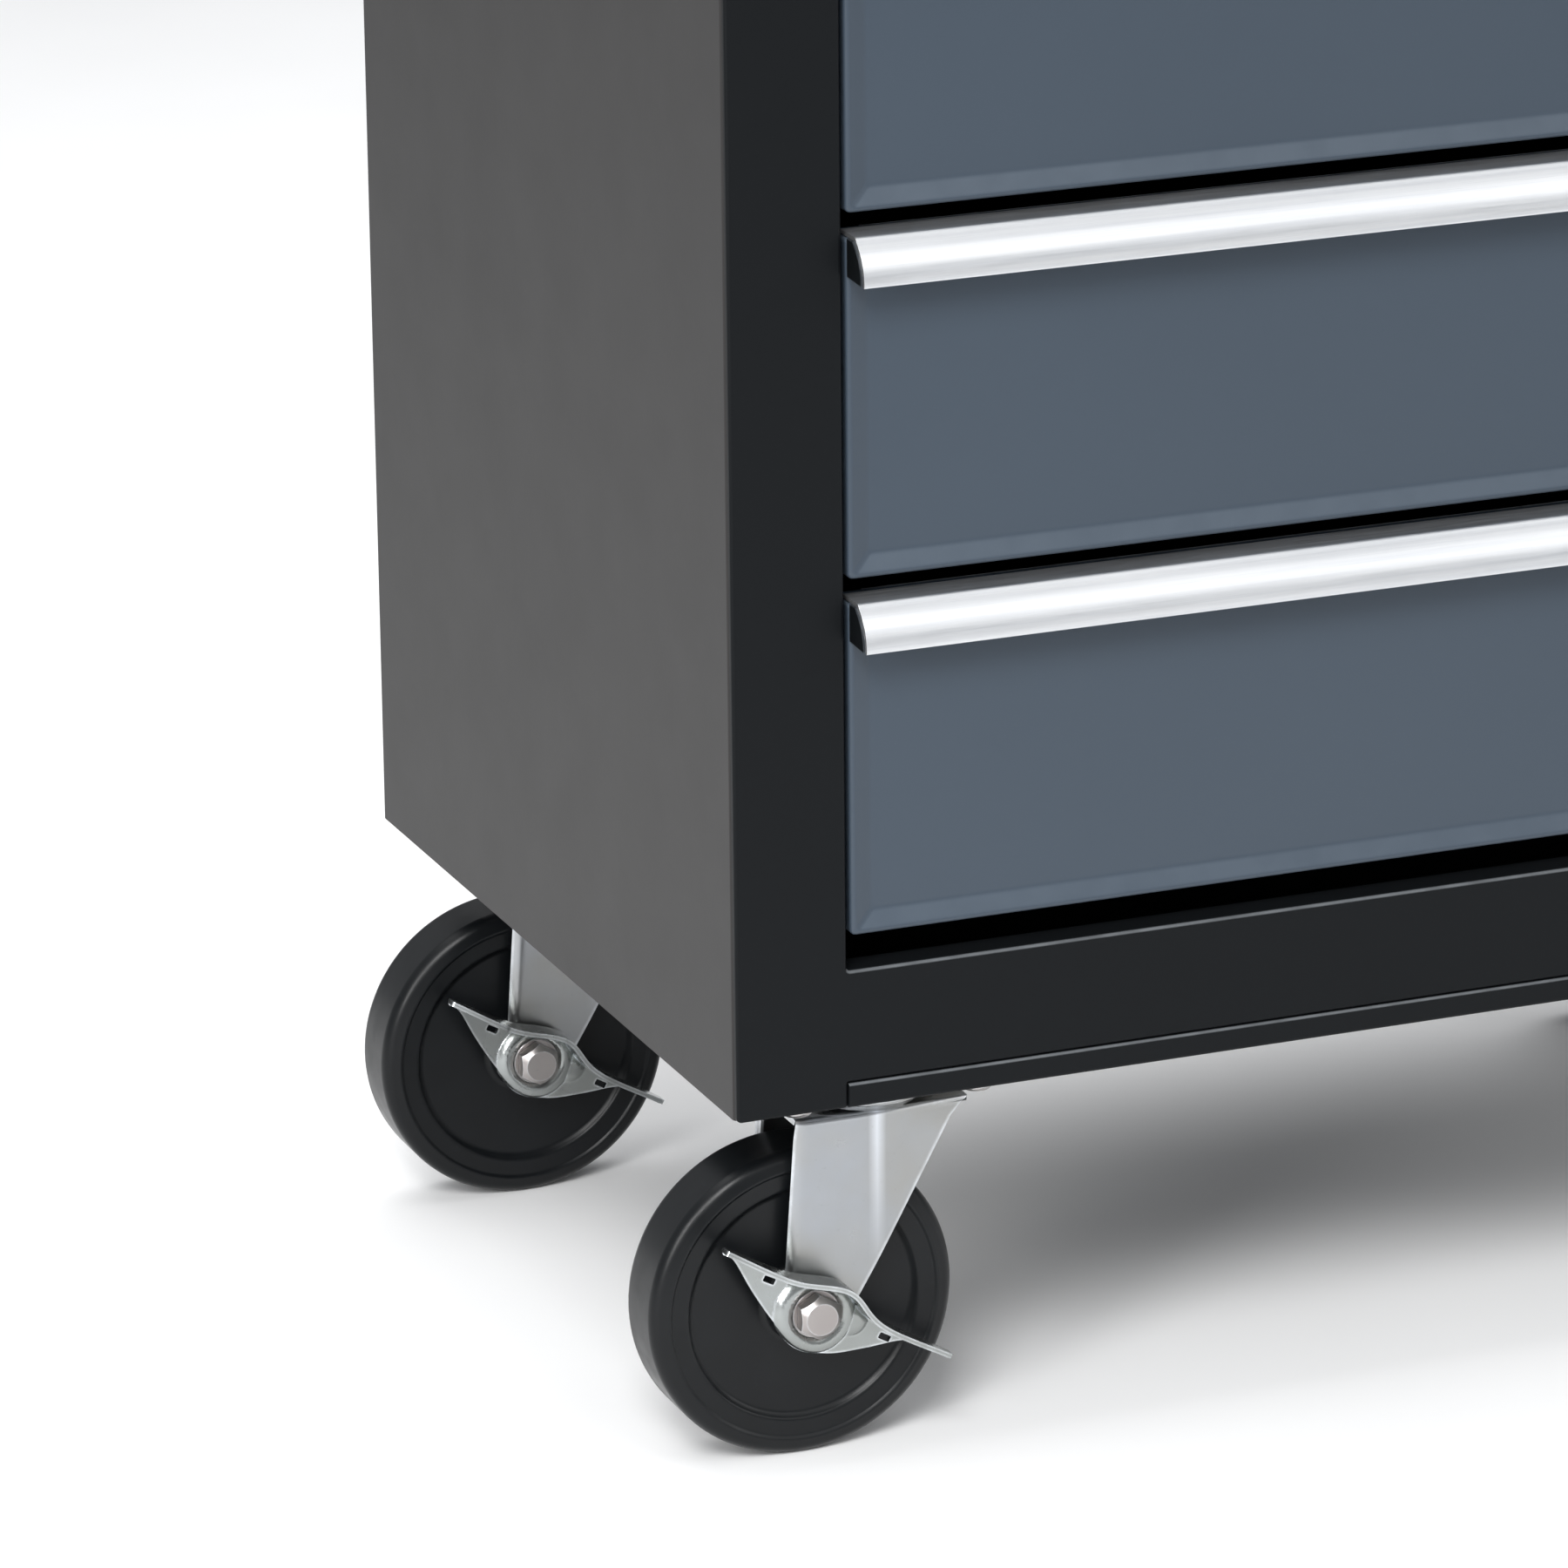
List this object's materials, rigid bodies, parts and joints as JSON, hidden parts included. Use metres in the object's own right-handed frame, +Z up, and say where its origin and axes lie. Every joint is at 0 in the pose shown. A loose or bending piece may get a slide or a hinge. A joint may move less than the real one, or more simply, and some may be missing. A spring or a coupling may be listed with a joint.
{
  "type": "rolling tool chest",
  "caption": "Steel rolling tool cabinet with full-width aluminium drawer pulls, on braked swivel casters at one end and rigid casters at the other.",
  "frame": {"origin": "middle of the bounding box, at floor level", "axes": "+Z up, +X to the right of someone facing the drawers, drawers open towards -Y"},
  "size_m": [0.684, 0.4277, 0.84],
  "materials": {
    "side_paint": "satin charcoal-grey powder coat",
    "frame_paint": "satin black powder coat",
    "drawer_paint": "satin slate-blue powder coat",
    "handle_aluminium": "brushed along its length, anodised",
    "zinc_plate": "bright zinc plated sheet steel",
    "slide_steel": "zinc plated rolled steel",
    "wheel_rubber": "hard black rubber, satin",
    "lock_chrome": "polished"
  },
  "bodies": {
    "cabinet": {"left_side_panel": "side_paint", "right_side_panel": "side_paint", "back_panel": "side_paint", "top_panel": "side_paint", "base_pan": "frame_paint", "front_frame": "frame_paint", "left_slide_rack": "slide_steel", "right_slide_rack": "slide_steel", "lock_barrel": "lock_chrome", "front_swivel_plate": "zinc_plate", "rear_swivel_plate": "zinc_plate", "front_rigid_fork": "zinc_plate", "front_rigid_axle_bolt": "zinc_plate", "front_rigid_axle_nut": "zinc_plate", "rear_rigid_fork": "zinc_plate", "rear_rigid_axle_bolt": "zinc_plate", "rear_rigid_axle_nut": "zinc_plate"},
    "drawer_1": {"drawer_1_front": "drawer_paint", "drawer_1_handle": "handle_aluminium", "drawer_1_tray": "frame_paint", "drawer_1_left_runner": "slide_steel", "drawer_1_right_runner": "slide_steel"},
    "drawer_1_slides": {"drawer_1_left_slide": "slide_steel", "drawer_1_right_slide": "slide_steel"},
    "drawer_2": {"drawer_2_front": "drawer_paint", "drawer_2_handle": "handle_aluminium", "drawer_2_tray": "frame_paint", "drawer_2_left_runner": "slide_steel", "drawer_2_right_runner": "slide_steel"},
    "drawer_2_slides": {"drawer_2_left_slide": "slide_steel", "drawer_2_right_slide": "slide_steel"},
    "drawer_3": {"drawer_3_front": "drawer_paint", "drawer_3_handle": "handle_aluminium", "drawer_3_tray": "frame_paint", "drawer_3_left_runner": "slide_steel", "drawer_3_right_runner": "slide_steel"},
    "drawer_3_slides": {"drawer_3_left_slide": "slide_steel", "drawer_3_right_slide": "slide_steel"},
    "drawer_4": {"drawer_4_front": "drawer_paint", "drawer_4_handle": "handle_aluminium", "drawer_4_tray": "frame_paint", "drawer_4_left_runner": "slide_steel", "drawer_4_right_runner": "slide_steel"},
    "drawer_4_slides": {"drawer_4_left_slide": "slide_steel", "drawer_4_right_slide": "slide_steel"},
    "front_yoke": {"front_swivel_fork": "zinc_plate", "front_swivel_axle_bolt": "zinc_plate", "front_swivel_axle_nut": "zinc_plate"},
    "front_left_wheel": {"front_swivel_wheel": "wheel_rubber"},
    "front_pedal": {"front_swivel_brake_pedal": "zinc_plate"},
    "front_right_wheel": {"front_rigid_wheel": "wheel_rubber"},
    "rear_yoke": {"rear_swivel_fork": "zinc_plate", "rear_swivel_axle_bolt": "zinc_plate", "rear_swivel_axle_nut": "zinc_plate"},
    "rear_left_wheel": {"rear_swivel_wheel": "wheel_rubber"},
    "rear_pedal": {"rear_swivel_brake_pedal": "zinc_plate"},
    "rear_right_wheel": {"rear_rigid_wheel": "wheel_rubber"},
    "lock_turning_parts": {"lock_plug": "lock_chrome", "lock_cam": "zinc_plate"},
    "lock_lift_bar": {"lock_bar": "zinc_plate"}
  },
  "joints": [
    {"name": "drawer_1_pull", "type": "slide", "parent": "cabinet", "child": "drawer_1", "axis": [0, -1, 0], "range_m": [0, 0.35]},
    {"name": "drawer_1_slides_run", "type": "slide", "parent": "cabinet", "child": "drawer_1_slides", "axis": [0, -1, 0], "range_m": [0, 0.175]},
    {"name": "drawer_2_pull", "type": "slide", "parent": "cabinet", "child": "drawer_2", "axis": [0, -1, 0], "range_m": [0, 0.35]},
    {"name": "drawer_2_slides_run", "type": "slide", "parent": "cabinet", "child": "drawer_2_slides", "axis": [0, -1, 0], "range_m": [0, 0.175]},
    {"name": "drawer_3_pull", "type": "slide", "parent": "cabinet", "child": "drawer_3", "axis": [0, -1, 0], "range_m": [0, 0.35]},
    {"name": "drawer_3_slides_run", "type": "slide", "parent": "cabinet", "child": "drawer_3_slides", "axis": [0, -1, 0], "range_m": [0, 0.175]},
    {"name": "drawer_4_pull", "type": "slide", "parent": "cabinet", "child": "drawer_4", "axis": [0, -1, 0], "range_m": [0, 0.35]},
    {"name": "drawer_4_slides_run", "type": "slide", "parent": "cabinet", "child": "drawer_4_slides", "axis": [0, -1, 0], "range_m": [0, 0.175]},
    {"name": "front_yoke_swivel", "type": "hinge", "parent": "cabinet", "child": "front_yoke", "pos_m": [-0.246, -0.15, 0.144], "axis": [0, 0, 1], "continuous": true},
    {"name": "front_left_wheel_roll", "type": "hinge", "parent": "front_yoke", "child": "front_left_wheel", "pos_m": [-0.278, -0.15, 0.064], "axis": [0, 1, 0], "continuous": true},
    {"name": "front_pedal_rock", "type": "hinge", "parent": "front_yoke", "child": "front_pedal", "pos_m": [-0.278, -0.15, 0.064], "axis": [0, 1, 0], "range_deg": [-30, 0]},
    {"name": "front_right_wheel_roll", "type": "hinge", "parent": "cabinet", "child": "front_right_wheel", "pos_m": [0.27, -0.15, 0.064], "axis": [0, 1, 0], "continuous": true},
    {"name": "rear_yoke_swivel", "type": "hinge", "parent": "cabinet", "child": "rear_yoke", "pos_m": [-0.246, 0.166, 0.144], "axis": [0, 0, 1], "continuous": true},
    {"name": "rear_left_wheel_roll", "type": "hinge", "parent": "rear_yoke", "child": "rear_left_wheel", "pos_m": [-0.278, 0.166, 0.064], "axis": [0, 1, 0], "continuous": true},
    {"name": "rear_pedal_rock", "type": "hinge", "parent": "rear_yoke", "child": "rear_pedal", "pos_m": [-0.278, 0.166, 0.064], "axis": [0, 1, 0], "range_deg": [-30, 0]},
    {"name": "rear_right_wheel_roll", "type": "hinge", "parent": "cabinet", "child": "rear_right_wheel", "pos_m": [0.27, 0.166, 0.064], "axis": [0, 1, 0], "continuous": true},
    {"name": "lock_turn", "type": "hinge", "parent": "cabinet", "child": "lock_turning_parts", "pos_m": [0.319, -0.198, 0.812], "axis": [0, 1, 0], "range_deg": [0, 90]},
    {"name": "lock_bar_lift", "type": "slide", "parent": "cabinet", "child": "lock_lift_bar", "axis": [0, 0, 1], "range_m": [0, 0.01]}
  ],
  "couplings": [
    {"joint": "drawer_1_slides_run", "follows": "drawer_1_pull", "ratio": 0.5},
    {"joint": "drawer_2_slides_run", "follows": "drawer_2_pull", "ratio": 0.5},
    {"joint": "drawer_3_slides_run", "follows": "drawer_3_pull", "ratio": 0.5},
    {"joint": "drawer_4_slides_run", "follows": "drawer_4_pull", "ratio": 0.5},
    {"joint": "lock_turn", "follows": "lock_bar_lift", "rad_per_m": 157.08}
  ]
}
